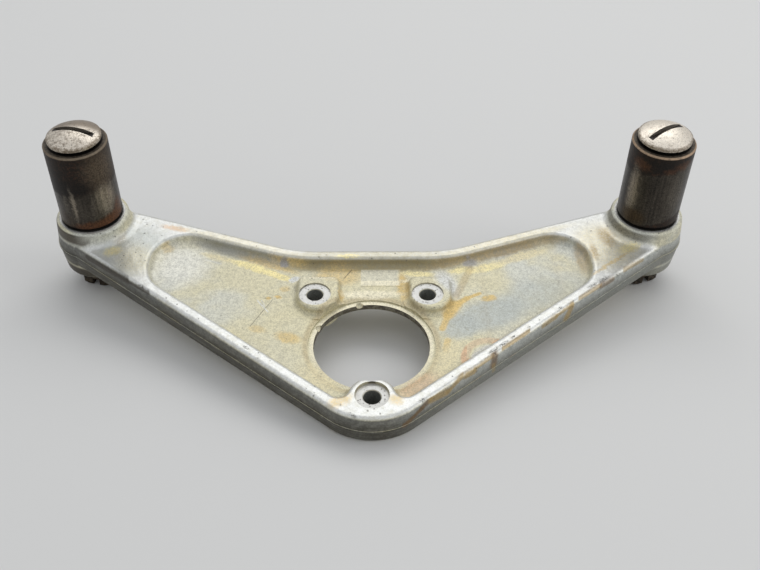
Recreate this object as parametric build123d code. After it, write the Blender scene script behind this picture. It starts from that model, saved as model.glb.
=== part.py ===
from build123d import *
import math
import os

# Nose gear steering arm: one flat V-shaped forging with a bearing bore in its middle and a
# steel roller standing on a slotted bolt at each tip. Millimetres. The origin is the centre
# of the bore on the parting plane of the forging, +Y points from the bore to the tips,
# and +Z points up through the rollers. Left is -X and right is +X.

# Tips: where the rollers stand, from the centre of the bore
tip_x = 117.3
tip_y = 67.3
boss_height = 23.8
boss_top_r = 14.9
boss_edge_round = 1.4
boss_foot_round = 4.0

# Outline of the forging at its parting plane
front_angle = 39.1
front_inside_boss = 0.75
nose_r = 24.5
back_angle = 20.0
back_inside_boss = 2.45
back_y = 50.3
back_corner_r = 50.0
draft = 6.0
flash_proud = 0.2
flash_height = 0.9

# Rim, web and pockets, the same above and below the parting plane
rim_height = 12.7
rim_width = 5.4
rim_round = 2.0
web_thickness = 4.4
pocket_end_x = 90.0
pocket_front_r = 16.0
pocket_back_r = 14.0
pocket_tip_r = 3.5
floor_round = 2.6

# Bearing bore and its thin lip
bore_d = 44.45
lip_thickness = 2.4
lip_width = 2.2
dish_width = 3.2
dish_depth = 0.5
nick_r = 1.5
nick_angles = (102.0, 155.0)

# Three bolt holes beside the bore, two on pads and one on a boss that joins the front rim
hole_d = 6.35
hole_chamfer = 0.35
pair_x = 22.3
pair_y = 24.1
front_hole_y = -28.7
spotface_d = 12.7
spotface_z = 5.1
pad_top_z = 5.7
pad_r = 8.8
pad_back = 11.0
pad_corner_r = 3.0
pad_shift = 1.2
pad_round = 1.5
pad_foot_round = 2.0
front_boss_r = 9.2

# Rollers and what holds them
bolt_d = 12.7
roller_d = 25.4
roller_length = 35.7
roller_chamfer = 0.6
roller_clearance = 0.05
shank_clearance = 0.03
end_play = 0.1
thrust_washer_d = 20.6
thrust_washer_t = 0.9
washer_clearance = 0.1

# Slotted bolt, with a low collar that holds its head off the roller
collar_d = 17.0
collar_height = 1.3
head_d = 21.4
head_rim = 1.2
head_dome = 3.1
slot_width = 2.4
slot_depth = 2.0
left_slot_angle = -12.0
right_slot_angle = 32.0
bolt_end_chamfer = 1.0
thread_d = 12.4

# Washer, castellated nut and cotter pin under each tip
nut_washer_d = 22.2
nut_washer_t = 1.6
nut_across_flats = 19.05
nut_height = 7.1
nut_slot_width = 3.0
nut_slot_depth = 3.0
nut_corner_cut = 0.8
bolt_past_nut = 1.0
cotter_wire_d = 1.1
cotter_leg_gap = 0.06
cotter_hole_d = 2.8
cotter_bend_r = 0.9
cotter_leg_length = 4.2
cotter_stand_off = 0.15
cotter_eye_half_width = 1.9
cotter_eye_length = 4.6
cotter_eye_bend_r = 1.6
left_cotter_angle = -45.0
right_cotter_angle = -128.0

# Levels and places that follow from the sizes above
rim_z = rim_height / 2
web_z = web_thickness / 2
lip_d = bore_d + 2 * lip_width
boss_z = boss_height / 2
draft_slope = math.tan(math.radians(draft))
washer_gap = thrust_washer_t + end_play
roller_z0 = boss_z + washer_gap
roller_z1 = roller_z0 + roller_length
collar_z = roller_z1 + end_play
head_z = collar_z + collar_height
nut_top_z = -boss_z - nut_washer_t
nut_z = nut_top_z - nut_height
bolt_end_z = nut_z - bolt_past_nut
cotter_z = nut_z + nut_slot_depth / 2
pocket_inset = rim_z * draft_slope + rim_width + (rim_z - web_z) * draft_slope
boss_parting_r = boss_top_r + boss_z * draft_slope
front_from_tip = boss_parting_r - front_inside_boss
back_from_tip = boss_parting_r - back_inside_boss
pad_width = 2 * pad_r
tool_reach = 2 * boss_height
edge_tolerance = 0.01


def side_lines(inset):
    """Front and back edge of the right half: a point and a direction each, moved inwards."""
    front = math.radians(front_angle)
    back = math.radians(back_angle)
    front_reach = front_from_tip - inset
    back_reach = back_from_tip - inset
    front_point = (tip_x + front_reach * math.sin(front), tip_y - front_reach * math.cos(front))
    back_point = (tip_x - back_reach * math.sin(back), tip_y + back_reach * math.cos(back))
    return front_point, math.tan(front), back_point, math.tan(back)


def mirrored_polygon(right_points):
    """Closed polygon from the points of its right half and their mirror images."""
    left_points = [(-x, y) for x, y in reversed(right_points) if x != 0]
    return make_face(Polyline(*right_points, *left_points, close=True))


def corners(face, x, y):
    """Vertices of a face at (x, y) and at its mirror image."""
    return [v for v in face.vertices()
            if abs(abs(v.X) - x) < edge_tolerance and abs(v.Y - y) < edge_tolerance]


def arm_outline():
    """The V seen from above at the parting plane, with both ends hidden inside the bosses."""
    front_point, front_slope, back_point, back_slope = side_lines(0)
    nose = (0, front_point[1] - front_point[0] * front_slope)
    corner = (back_point[0] - (back_point[1] - back_y) / back_slope, back_y)
    face = mirrored_polygon([nose, front_point, back_point, corner])
    face = fillet(corners(face, *nose), nose_r)
    return fillet(corners(face, *corner), back_corner_r)


def tip_reach(point):
    """How far a point lies from the axis of the tip boss on its side."""
    return math.hypot(abs(point.X) - tip_x, point.Y - tip_y)


def trimmed_flash():
    """Upper half of the low ridge that the trimming die left all round the parting plane."""
    bosses = [Pos(side * tip_x, tip_y) * Circle(boss_parting_r) for side in (-1, 1)]
    outline = arm_outline() + bosses
    meeting = [v for v in outline.vertices() if abs(tip_reach(v) - boss_parting_r) < edge_tolerance]
    outline = fillet(meeting, boss_foot_round)
    return drafted(offset(outline, flash_proud), 0, flash_height / 2, draft)


def pocket_outline():
    """Floor of the pocket: the outline less the rim, round-ended, and notched by the front boss."""
    front_point, front_slope, back_point, back_slope = side_lines(pocket_inset)
    floor_back_y = back_y - pocket_inset
    nose = (0, front_point[1] - front_point[0] * front_slope)
    front_end = (pocket_end_x, nose[1] + pocket_end_x * front_slope)
    back_end = (pocket_end_x, back_point[1] - (back_point[0] - pocket_end_x) * back_slope)
    corner = (back_point[0] - (back_point[1] - floor_back_y) / back_slope, floor_back_y)
    face = mirrored_polygon([nose, front_end, back_end, corner])
    face = fillet(corners(face, *nose), nose_r - pocket_inset)
    face = fillet(corners(face, *corner), back_corner_r + pocket_inset)
    face = fillet(corners(face, *front_end), pocket_front_r)
    face = fillet(corners(face, *back_end), pocket_back_r)
    notch = Pos(0, front_hole_y) * Circle(front_boss_r)
    return offset(offset(face - notch, -pocket_tip_r), pocket_tip_r, kind=Kind.ARC)


def pad_outline(side):
    """Pad under a bolt head: round towards the bore, squared off towards the back rim."""
    round_part = Circle(pad_r)
    square_part = Pos(0, pad_back / 2) * RectangleRounded(pad_width, pad_back, pad_corner_r)
    bridge = Pos(0, pad_corner_r) * Rectangle(pad_width, 2 * pad_corner_r)
    return Pos(side * pair_x + pad_shift, pair_y) * (round_part + square_part + bridge)


def near_z(edges, z):
    """Those of the edges that lie flat at height z."""
    found = [e for e in edges if abs(e.bounding_box().min.Z - z) < edge_tolerance
             and abs(e.bounding_box().max.Z - z) < edge_tolerance]
    return ShapeList(found)


def drafted(face, z0, z1, taper):
    """Face raised from z0 to z1, leaning inwards by the taper."""
    return extrude(Pos(0, 0, z0) * face, amount=z1 - z0, dir=(0, 0, 1), taper=taper)


def pocket_cutter():
    """What the die pressed out above the web: flares towards the top, with a rounded floor edge."""
    cutter = drafted(pocket_outline(), web_z, rim_z + rim_round, -draft)
    return fillet(near_z(cutter.edges(), web_z), floor_round)


def bore_dish():
    """Shallow cone round the bore, where the web thins towards the lip, clear of pads and boss."""
    low_r = lip_d / 2
    dish = Pos(0, 0, web_z - dish_depth / 2) * Cone(low_r, low_r + dish_width, dish_depth)
    dish -= through(2 * (front_boss_r + floor_round), 0, front_hole_y)
    for side in (-1, 1):
        dish -= drafted(offset(pad_outline(side), pad_foot_round), 0, rim_z, 0)
    return dish


def tip_boss(side):
    """Upper half of the round boss under a roller."""
    boss = drafted(Circle(boss_parting_r), 0, boss_z, draft)
    boss = fillet(near_z(boss.edges(), boss_z), boss_edge_round)
    return Pos(side * tip_x, tip_y) * boss


def tip_foot_edges(half):
    """Where the rim runs into the wall of either tip boss, above the parting plane."""
    def on_wall(point):
        wall_r = boss_parting_r - point.Z * draft_slope
        off_wall = abs(tip_reach(point) - wall_r)
        return off_wall < edge_tolerance and edge_tolerance < point.Z < rim_z + edge_tolerance
    return [e for e in half.edges() if all(on_wall(e.position_at(u)) for u in (0, 0.5, 1))]


def bolt_pad(side):
    """Pad that stands on the web under one of the two rear bolt heads."""
    pad = drafted(pad_outline(side), 0, pad_top_z, draft)
    return fillet(near_z(pad.edges(), pad_top_z), pad_round)


def pad_foot_edges(web, pads, joined):
    """Where the two pads meet the web, above the parting plane."""
    return [e for e in new_edges(web, *pads, combined=joined) if e.center().Z > edge_tolerance]


def arm_half():
    """Upper half of the forging, from the parting plane up."""
    half = drafted(arm_outline(), 0, rim_z, draft) - pocket_cutter()
    web = fillet(near_z(half.edges(), rim_z), rim_round)
    pads = [bolt_pad(-1), bolt_pad(1)]
    half = web + pads
    half = fillet(pad_foot_edges(web, pads, half), pad_foot_round) - bore_dish()
    half += [tip_boss(-1), tip_boss(1)]
    return fillet(tip_foot_edges(half), boss_foot_round) + trimmed_flash()


def hole_centres():
    """Centres of the three bolt holes beside the bore."""
    return [(-pair_x, pair_y), (pair_x, pair_y), (0, front_hole_y)]


def through(d, x, y):
    """Straight hole through the whole height of the forging."""
    return Pos(x, y) * Cylinder(d / 2, tool_reach)


def lip_and_bore():
    """What the boring tool took out: the bore, and a flat ring of lip that spares the front boss."""
    faced = through(lip_d, 0, 0) - Cylinder(lip_d / 2, lip_thickness)
    faced -= through(2 * front_boss_r, 0, front_hole_y)
    return faced + through(bore_d, 0, 0)


def lip_nick(angle):
    """Dent knocked into the upper edge of the bore."""
    return Rot(0, 0, angle) * Pos(bore_d / 2, 0, lip_thickness / 2) * Sphere(nick_r)


def machining():
    """Everything cut into the forging after it left the die."""
    tools = [lip_and_bore()] + [lip_nick(angle) for angle in nick_angles]
    for x, y in hole_centres():
        tools.append(through(hole_d, x, y))
        for face in (-1, 1):
            spotface = Cylinder(spotface_d / 2, boss_z)
            tools.append(Pos(x, y, face * (spotface_z + boss_z / 2)) * spotface)
    for side in (-1, 1):
        tools.append(through(bolt_d + 2 * shank_clearance, side * tip_x, tip_y))
    return tools


def rings(part, z, d, x, y):
    """Circular edges of diameter d about (x, y) at height z, above or below the parting plane."""
    return [e for e in part.edges().filter_by(GeomType.CIRCLE)
            if abs(abs(e.arc_center.Z) - z) < edge_tolerance
            and abs(e.radius - d / 2) < edge_tolerance
            and math.hypot(e.arc_center.X - x, e.arc_center.Y - y) < edge_tolerance]


def steering_arm():
    """The whole forging: two like halves on their parting plane, then machined."""
    half = arm_half()
    arm = half + mirror(half, about=Plane.XY) - machining()
    for x, y in hole_centres():
        arm = chamfer(rings(arm, spotface_z, hole_d, x, y), hole_chamfer)
    return arm


def disc(d, z0, z1):
    """Solid cylinder between two heights, on the Z axis."""
    return Pos(0, 0, (z0 + z1) / 2) * Cylinder(d / 2, z1 - z0)


def ring(outer_d, inner_d, z0, z1):
    """Flat ring between two heights, on the Z axis."""
    return disc(outer_d, z0, z1) - disc(inner_d, z0, z1)


def circles(part, d, z=None):
    """Circular edges of diameter d, at one height or at any."""
    return [e for e in part.edges().filter_by(GeomType.CIRCLE)
            if abs(e.radius - d / 2) < edge_tolerance
            and (z is None or abs(e.arc_center.Z - z) < edge_tolerance)]


def roller():
    """Plain steel roller, chamfered at both ends, that turns on the bolt."""
    tube = ring(roller_d, bolt_d + 2 * roller_clearance, roller_z0, roller_z1)
    return chamfer(circles(tube, roller_d), roller_chamfer)


def bolt_head(slot_angle):
    """Low domed head with a screwdriver slot right across it."""
    head_top = head_z + head_rim + head_dome
    dome_r = (head_d ** 2 / 4 + head_dome ** 2) / (2 * head_dome)
    ball = Pos(0, 0, head_top - dome_r) * Sphere(dome_r)
    head = disc(head_d, head_z, head_top) & ball
    slot = Pos(0, 0, head_top - slot_depth / 2) * Rot(0, 0, slot_angle)
    return head - slot * Box(2 * head_d, slot_width, slot_depth)


def roller_bolt(slot_angle, cotter_angle):
    """Slotted bolt: axle of the roller, shank through the boss, thread and cotter hole below."""
    thread = disc(thread_d, bolt_end_z, nut_top_z)
    thread = chamfer(circles(thread, thread_d, bolt_end_z), bolt_end_chamfer)
    shank = disc(bolt_d, nut_top_z, collar_z) + disc(collar_d, collar_z, head_z)
    cotter_hole = Rot(0, 0, cotter_angle) * Rot(0, 90, 0) * Cylinder(cotter_hole_d / 2, 2 * bolt_d)
    return bolt_head(slot_angle) + shank + thread - Pos(0, 0, cotter_z) * cotter_hole


def thrust_washer():
    """Thin washer that keeps the roller off the boss."""
    return ring(thrust_washer_d, bolt_d + 2 * washer_clearance, boss_z, boss_z + thrust_washer_t)


def nut_washer():
    """Flat washer between the boss and the nut."""
    return ring(nut_washer_d, bolt_d + 2 * washer_clearance, nut_top_z, -boss_z)


def castle_nut(cotter_angle):
    """Shear nut with a slot in the middle of each flat, turned so that one pair takes the pin."""
    corner_r = nut_across_flats / math.sqrt(3)
    hexagon = Pos(0, 0, nut_z) * RegularPolygon(corner_r, 6, rotation=30)
    nut = extrude(hexagon, amount=nut_height, dir=(0, 0, 1))
    blank = disc(2 * corner_r, nut_z, nut_top_z)
    nut &= chamfer(circles(blank, 2 * corner_r), nut_corner_cut, nut_corner_cut)
    nut -= disc(thread_d + 2 * shank_clearance, nut_z, nut_top_z)
    for turn in range(3):
        slot = Pos(0, 0, nut_z + nut_slot_depth / 2) * Rot(0, 0, 60 * turn)
        nut -= slot * Box(2 * nut_across_flats, nut_slot_width, nut_slot_depth)
    return Rot(0, 0, cotter_angle) * nut


def cotter_pin(cotter_angle):
    """Split pin in one wire: two legs side by side, an eye behind and bent ends in front."""
    half_gap = cotter_wire_d / 2 + cotter_leg_gap / 2
    leg_x = nut_across_flats / 2 + cotter_wire_d / 2 + cotter_stand_off
    eye_x = -nut_across_flats / 2 - cotter_stand_off
    eye_back = eye_x - cotter_eye_length
    flare_x = eye_x - cotter_eye_half_width
    leg = [(leg_x, cotter_leg_length), (leg_x, half_gap), (eye_x, half_gap),
           (flare_x, cotter_eye_half_width), (eye_back, cotter_eye_half_width)]
    route = leg + [(x, -y) for x, y in reversed(leg)]
    bends = [cotter_bend_r] * 3 + [cotter_eye_bend_r] * 2 + [cotter_bend_r] * 3
    path = FilletPolyline(*route, radius=bends)
    start = Plane(path @ 0, z_dir=path % 0)
    pin = sweep(start * Circle(cotter_wire_d / 2), path=path)
    return Pos(0, 0, cotter_z) * Rot(0, 0, cotter_angle) * pin


def all_parts():
    """Every separate piece by its name, in place."""
    parts = {"steering_arm": steering_arm()}
    for name, side, slot_angle, cotter_angle in (("left", -1, left_slot_angle, left_cotter_angle),
                                                 ("right", 1, right_slot_angle, right_cotter_angle)):
        tip = Pos(side * tip_x, tip_y)
        parts[name + "_roller"] = tip * roller()
        parts[name + "_roller_bolt"] = tip * roller_bolt(slot_angle, cotter_angle)
        parts[name + "_thrust_washer"] = tip * thrust_washer()
        parts[name + "_nut_washer"] = tip * nut_washer()
        parts[name + "_castle_nut"] = tip * castle_nut(cotter_angle)
        parts[name + "_cotter_pin"] = tip * cotter_pin(cotter_angle)
    return parts


if __name__ == "__main__":
    os.makedirs("parts", exist_ok=True)
    for node, shape in all_parts().items():
        export_step(shape, f"parts/{node}.step")
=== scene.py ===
"""Finish, threads, floor, lamps and camera for the nose gear steering arm, round its solids.

The constants and the insides of the materials are in millimetres, everything else is in metres.
The origin is the centre of the bearing bore, +Y points to the rollers and +Z points up.
"""

import inspect
import math

import bpy
from bpy.props import FloatProperty, FloatVectorProperty, IntProperty, PointerProperty
from mathutils import Matrix, Vector


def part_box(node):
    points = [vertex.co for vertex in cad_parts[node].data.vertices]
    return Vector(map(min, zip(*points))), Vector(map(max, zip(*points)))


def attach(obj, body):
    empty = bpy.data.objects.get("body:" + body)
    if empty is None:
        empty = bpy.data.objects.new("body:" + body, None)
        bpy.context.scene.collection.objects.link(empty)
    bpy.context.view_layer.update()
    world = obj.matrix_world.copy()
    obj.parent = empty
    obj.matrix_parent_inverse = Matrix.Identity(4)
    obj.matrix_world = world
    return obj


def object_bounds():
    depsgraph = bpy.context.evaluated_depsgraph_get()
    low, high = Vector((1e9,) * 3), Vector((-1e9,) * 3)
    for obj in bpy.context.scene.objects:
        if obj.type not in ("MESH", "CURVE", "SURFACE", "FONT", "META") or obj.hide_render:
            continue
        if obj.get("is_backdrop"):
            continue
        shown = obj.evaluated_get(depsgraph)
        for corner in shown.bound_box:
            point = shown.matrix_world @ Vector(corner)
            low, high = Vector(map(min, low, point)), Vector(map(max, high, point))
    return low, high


bl_info = {
    "name": "Steering arm finish",
    "version": (1, 0, 0),
    "blender": (4, 5, 0),
    "location": "View3D > Sidebar > Steering arm",
    "description": "Gives the steering arm its worn forging, rusty rollers, bolt threads and stage",
    "category": "Object",
}

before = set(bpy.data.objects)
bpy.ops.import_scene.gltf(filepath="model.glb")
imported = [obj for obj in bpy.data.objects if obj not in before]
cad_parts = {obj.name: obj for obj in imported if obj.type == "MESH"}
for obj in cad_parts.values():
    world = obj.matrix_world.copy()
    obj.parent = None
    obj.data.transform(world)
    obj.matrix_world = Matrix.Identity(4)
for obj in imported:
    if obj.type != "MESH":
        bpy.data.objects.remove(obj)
cad_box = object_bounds()

MM = 0.001
PER_MM = 1000.0
SIDES = ("left", "right")


def srgb(red, green, blue):
    """A colour as it looks on a screen, 0 to 255, turned into the linear values that nodes use."""
    def linear(level):
        share = level / 255
        return share / 12.92 if share <= 0.04045 else ((share + 0.055) / 1.055) ** 2.4
    return (linear(red), linear(green), linear(blue), 1.0)


# Places on the part, in millimetres, read from the frame where a box gives them
def box_mm(node):
    """Lowest and highest corner of a solid in millimetres."""
    low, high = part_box(node)
    return low * PER_MM, high * PER_MM


def tip_axis(side):
    """Centre of a roller seen from above, in millimetres."""
    low, high = box_mm(side + "_roller")
    return ((low.x + high.x) / 2, (low.y + high.y) / 2, 0.0)


ROLLER_LOW = box_mm("left_roller")[0].z
ROLLER_HIGH = box_mm("left_roller")[1].z
BOSS_TOP = box_mm("steering_arm")[1].z
BOLT_END = box_mm("left_roller_bolt")[0].z
NUT_TOP = box_mm("left_castle_nut")[1].z
RIM_TOP = 6.35
SPOTFACE_TOP = 5.1
BOLT_HOLES = ((-22.3, 24.1, 0.0), (22.3, 24.1, 0.0), (0.0, -28.7, 0.0))
SPOTFACE_R = 6.35
HOLE_R = 3.175
BOSS_FACE_R = 13.6
OUTSIDE_R = 36.1
BORE_R = 22.225
LIP_R = 24.4
ROLLER_R = 12.7
SLOT_ANGLES = {"left": -12.0, "right": 32.0}
SLOT_HALF_WIDTH = 1.2
SLOT_REACH = 8.6
PATCH_HALF_HEIGHT = 50.0
MARK_HALF_DEPTH = 6.0
SENSOR_WIDTH = 36

# Where along X the dirt and painted shade of the walls and bosses turn from that of the left arm to
# that of the right
WALL_CHANGE = (2.0, 34.0)
BOSS_CHANGE = (-20.0, 20.0)
# Scales along X, Y and Z of the noises that are drawn out into lines
LEVEL_LINES = (0.08, 0.08, 0.7)
UPRIGHT_LINES = (1.2, 1.2, 0.08)


class Wiring:
    """Short words for adding nodes to one tree and joining them."""

    def __init__(self, tree):
        self.tree = tree

    def feed(self, socket, value):
        """Joins an output to a socket, or sets the socket to a plain value."""
        if isinstance(value, bpy.types.NodeSocket):
            self.tree.links.new(value, socket)
        else:
            socket.default_value = value

    def add(self, kind, inputs=(), **settings):
        """A new node with some of its settings, and with inputs by their names or numbers."""
        node = self.tree.nodes.new(kind)
        for name, value in settings.items():
            setattr(node, name, value)
        for key, value in dict(inputs).items():
            self.feed(node.inputs[key], value)
        return node

    def maths(self, operation, *values, clamp=False):
        """One Math node on numbers."""
        return self.add("ShaderNodeMath", enumerate(values), operation=operation,
                        use_clamp=clamp).outputs[0]

    def times(self, *values):
        """Product of any count of numbers."""
        result = values[0]
        for value in values[1:]:
            result = self.maths("MULTIPLY", result, value)
        return result

    def inverse(self, mask):
        """One less the mask."""
        return self.maths("SUBTRACT", 1.0, mask)

    def gap(self, one, other):
        """How far two numbers lie apart."""
        return self.maths("ABSOLUTE", self.maths("SUBTRACT", one, other))

    def vector(self, operation, *values):
        """One Vector Math node."""
        node = self.add("ShaderNodeVectorMath", enumerate(values), operation=operation)
        return node.outputs["Value" if operation in ("LENGTH", "DOT_PRODUCT") else "Vector"]

    def scaled(self, vector, factor):
        """A vector times a number."""
        return self.add("ShaderNodeVectorMath", {0: vector, "Scale": factor},
                        operation="SCALE").outputs["Vector"]

    def from_axis(self, vector):
        """Distance of a place from the Z axis."""
        return self.vector("LENGTH", self.vector("MULTIPLY", vector, (1, 1, 0)))

    def split(self, vector):
        """The three parts of a vector."""
        return self.add("ShaderNodeSeparateXYZ", {0: vector}).outputs

    def joined(self, *parts):
        """A vector from its three parts."""
        return self.add("ShaderNodeCombineXYZ", enumerate(parts)).outputs[0]

    def smooth(self, value, start, end, low=0.0, high=1.0):
        """Goes smoothly from low at start to high at end."""
        return self.add("ShaderNodeMapRange", {
            "Value": value, "From Min": start, "From Max": end, "To Min": low,
            "To Max": high}, interpolation_type="SMOOTHSTEP").outputs["Result"]

    def fall_off(self, distance, width, edge):
        """Mask of what lies nearer than a width. Its soft edge is a share of the width."""
        outside = self.maths("MULTIPLY", width, self.maths("ADD", 1.0, edge))
        inside = self.maths("MULTIPLY", width, self.maths("SUBTRACT", 1.0, edge))
        return self.smooth(distance, outside, inside)

    def coats(self, mask, below, above, mode="MIX"):
        """One colour laid over another where the mask is."""
        return self.add("ShaderNodeMix", {0: mask, 6: below, 7: above}, data_type="RGBA",
                        blend_type=mode).outputs[2]

    def paint(self, colour, paint, *masks):
        """Lays one of the paints over a colour, as much as the product of the masks says."""
        return self.coats(self.times(*masks), colour, PAINTS[paint])

    def grained(self, colour, grain):
        """A colour times a number, which darkens or lightens it."""
        return self.coats(1.0, colour, self.joined(grain, grain, grain), "MULTIPLY")

    def mixed(self, mask, below, above):
        """One number in place of another where the mask is."""
        return self.add("ShaderNodeMix", {0: mask, 2: below, 3: above},
                        data_type="FLOAT").outputs[0]

    def bump(self, height, depth):
        """A normal from a height and the length in metres of one unit of it."""
        return self.add("ShaderNodeBump", {"Distance": depth, "Height": height}).outputs["Normal"]

    def use(self, name, **values):
        """Places a shared node group and sets its inputs, and gives its first output."""
        inputs = {key.title(): value for key, value in values.items()}
        return self.add("ShaderNodeGroup", inputs,
                        node_tree=bpy.data.node_groups[name]).outputs[0]

    def noise(self, place, scale, detail=2.0, roughness=0.5):
        """Soft noise from 0 to 1."""
        return self.use("soft_noise", place=place, scale=scale, detail=detail,
                        roughness=roughness)

    def disc(self, place, centre, radius, edge=0.02):
        """Mask of a round place about an upright axis."""
        return self.use("ring_mask", place=place, centre=centre, radius=0.0, width=radius,
                        edge=edge)

    def oval(self, place, centre, half, turn, edge):
        """Mask of a patch from its centre, its three half sizes and its turn about Z."""
        cosine, sine = math.cos(turn), math.sin(turn)
        return self.use("patch_mask", place=place, centre=centre, edge=edge,
                        along=(cosine / half[0], sine / half[0], 0.0),
                        across=(-sine / half[1], cosine / half[1], 0.0),
                        upward=(0.0, 0.0, 1 / half[2]))


def soft_noise(w, place=None, scale=1.0, detail=2.0, roughness=0.5):
    """Soft noise, the base of every cloud, mottle and grain."""
    return w.add("ShaderNodeTexNoise", {"Vector": place, "Scale": scale, "Detail": detail,
                                        "Roughness": roughness}).outputs["Fac"]


def patch_mask(w, place=None, centre=None, along=(1, 0, 0), across=(0, 1, 0),
               upward=(0, 0, 1), edge=0.3):
    """Mask of one soft-edged oval patch: where a stain, a tint or a bare place lies."""
    away = w.vector("SUBTRACT", place, centre)
    parts = [w.vector("DOT_PRODUCT", away, axis) for axis in (along, across, upward)]
    reach = w.vector("LENGTH", w.joined(*parts))
    outside = w.maths("ADD", 1.0, edge)
    inside = w.maths("SUBTRACT", 1.0, edge)
    return w.smooth(reach, outside, inside)


def streak_mask(w, place=None, start=None, end=None, width=0.5, edge=0.4):
    """Mask of a thin straight mark from one point to another: a scratch, a run or a dried edge."""
    along = w.vector("SUBTRACT", end, start)
    away = w.vector("SUBTRACT", place, start)
    length = w.vector("DOT_PRODUCT", along, along)
    share = w.maths("DIVIDE", w.vector("DOT_PRODUCT", away, along), length, clamp=True)
    off = w.vector("LENGTH", w.vector("SUBTRACT", away, w.scaled(along, share)))
    return w.fall_off(off, width, edge)


def ring_mask(w, place=None, centre=None, radius=5.0, width=1.0, edge=0.3):
    """Mask of a ring about an upright axis: its middle radius, half width and soft edge."""
    off = w.gap(w.from_axis(w.vector("SUBTRACT", place, centre)), radius)
    return w.fall_off(off, width, edge)


def wandering_place(w, place=None, scale=0.3, push=1.0):
    """A place pushed about by noise, so that the marks painted with it get ragged edges."""
    noise = w.add("ShaderNodeTexNoise", {"Vector": place, "Scale": scale, "Detail": 3.0})
    off = w.vector("SUBTRACT", noise.outputs["Color"], (0.5, 0.5, 0.5))
    return w.vector("ADD", place, w.scaled(off, push))


def speck_mask(w, place=None, scale=1.0, size=0.2, share=0.5):
    """Mask of scattered small spots: pits, nicks and specks of dirt."""
    cells = w.add("ShaderNodeTexVoronoi", {"Vector": place, "Scale": scale})
    drawn = w.vector("DOT_PRODUCT", cells.outputs["Color"], (1, 0, 0))
    chosen = w.maths("LESS_THAN", drawn, share)
    spot = w.smooth(cells.outputs["Distance"], size, w.maths("MULTIPLY", size, 0.4))
    return w.times(chosen, spot)


def turned_rings(w, place=None, centre=None, pitch=0.4):
    """Height of the fine rings that a cutter leaves about an upright axis."""
    radius = w.from_axis(w.vector("SUBTRACT", place, centre))
    uneven = w.maths("ADD", radius, w.times(w.noise(place, 0.6), 0.5))
    wave = w.maths("SINE", w.times(w.maths("DIVIDE", uneven, pitch), 2 * math.pi))
    return w.smooth(wave, -1.0, 1.0)


def skin_grain(w, place=None, scale=2.0, coarse=0.3):
    """Height of fine forged or blasted skin: small lumps with a coarser unevenness below."""
    small_lumps = w.noise(place, scale, 3.0, 0.6)
    large_lumps = w.noise(place, w.maths("MULTIPLY", scale, 0.17), 2.0)
    return w.mixed(coarse, small_lumps, large_lumps)


# The effects that more than one finish uses, with the title of what each puts out
EFFECTS = {soft_noise: "Value", patch_mask: "Mask", streak_mask: "Mask", ring_mask: "Mask",
           wandering_place: "Place", speck_mask: "Mask", turned_rings: "Height",
           skin_grain: "Height"}


def build_group(effect, output):
    """A shared shader group from an effect, whose arguments become the inputs of the group.

    An input that starts as a number is a number, and any other is a vector.
    """
    tree = bpy.data.node_groups.new(effect.__name__, "ShaderNodeTree")
    inputs = list(inspect.signature(effect).parameters.values())[1:]
    for argument in inputs:
        kind = "NodeSocketFloat" if isinstance(argument.default, float) else "NodeSocketVector"
        socket = tree.interface.new_socket(argument.name.title(), in_out="INPUT",
                                           socket_type=kind)
        if argument.default is not None:
            socket.default_value = argument.default
    kind = "NodeSocketVector" if output == "Place" else "NodeSocketFloat"
    tree.interface.new_socket(output, in_out="OUTPUT", socket_type=kind)
    w = Wiring(tree)
    given = w.add("NodeGroupInput").outputs[:len(inputs)]
    result = w.add("NodeGroupOutput").inputs[0]
    w.feed(result, effect(w, *given))


def new_finish(name):
    """A material with its Principled shader, and the wiring to paint it."""
    material = bpy.data.materials.new(name)
    material.use_nodes = True
    wiring = Wiring(material.node_tree)
    shader = material.node_tree.nodes["Principled BSDF"]
    return material, wiring, shader


def place_in_mm(w):
    """Where a point lies on the part, in millimetres."""
    return w.scaled(w.add("ShaderNodeTexCoord").outputs["Object"], PER_MM)


def give(node, material):
    """Puts one material on every slot of a solid."""
    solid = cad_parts[node]
    if not solid.material_slots:
        solid.data.materials.append(material)
    for slot in solid.material_slots:
        slot.material = material


# Colours of the skins, stains and marks
PAINTS = {
    "gold": srgb(236, 222, 164),
    "pale gold": srgb(216, 205, 168),
    "back cream": srgb(192, 185, 158),
    "amber": srgb(211, 183, 118),
    "ochre": srgb(166, 142, 94),
    "olive": srgb(140, 126, 88),
    "pink": srgb(206, 172, 138),
    "lavender": srgb(160, 158, 158),
    "slate": srgb(146, 145, 138),
    "grey": srgb(178, 182, 176),
    "clean": srgb(210, 211, 208),
    "reflected light": srgb(228, 226, 214),
    "bright cream": srgb(232, 224, 196),
    "wall sheen": srgb(176, 178, 173),
    "brown": srgb(116, 93, 64),
    "wall grey": srgb(126, 127, 121),
    "boss shade": srgb(70, 63, 52),
    "dark": srgb(70, 64, 55),
    "masked skin": srgb(208, 204, 184),
    "cut face": srgb(192, 190, 184),
    "roller shadow": srgb(30, 27, 23),
    "soot": srgb(24, 20, 17),
    "rust": srgb(92, 60, 38),
    "umber": srgb(66, 54, 40),
    "steel": srgb(90, 84, 75),
    "roller brown": srgb(92, 80, 66),
    "bright": srgb(146, 136, 121),
    "roller end": srgb(92, 84, 72),
    "roller end, dark": srgb(60, 52, 44),
    "left roller edge": srgb(128, 114, 96),
    "right roller edge": srgb(176, 150, 124),
    "bolt rim": srgb(124, 110, 92),
    "slot shade": srgb(34, 28, 23),
    "shaded shank": srgb(30, 26, 22),
    "bolt end": srgb(128, 120, 108),
    "bolt end, dark": srgb(74, 64, 54),
    "rust speck": srgb(52, 38, 26),
}
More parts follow.
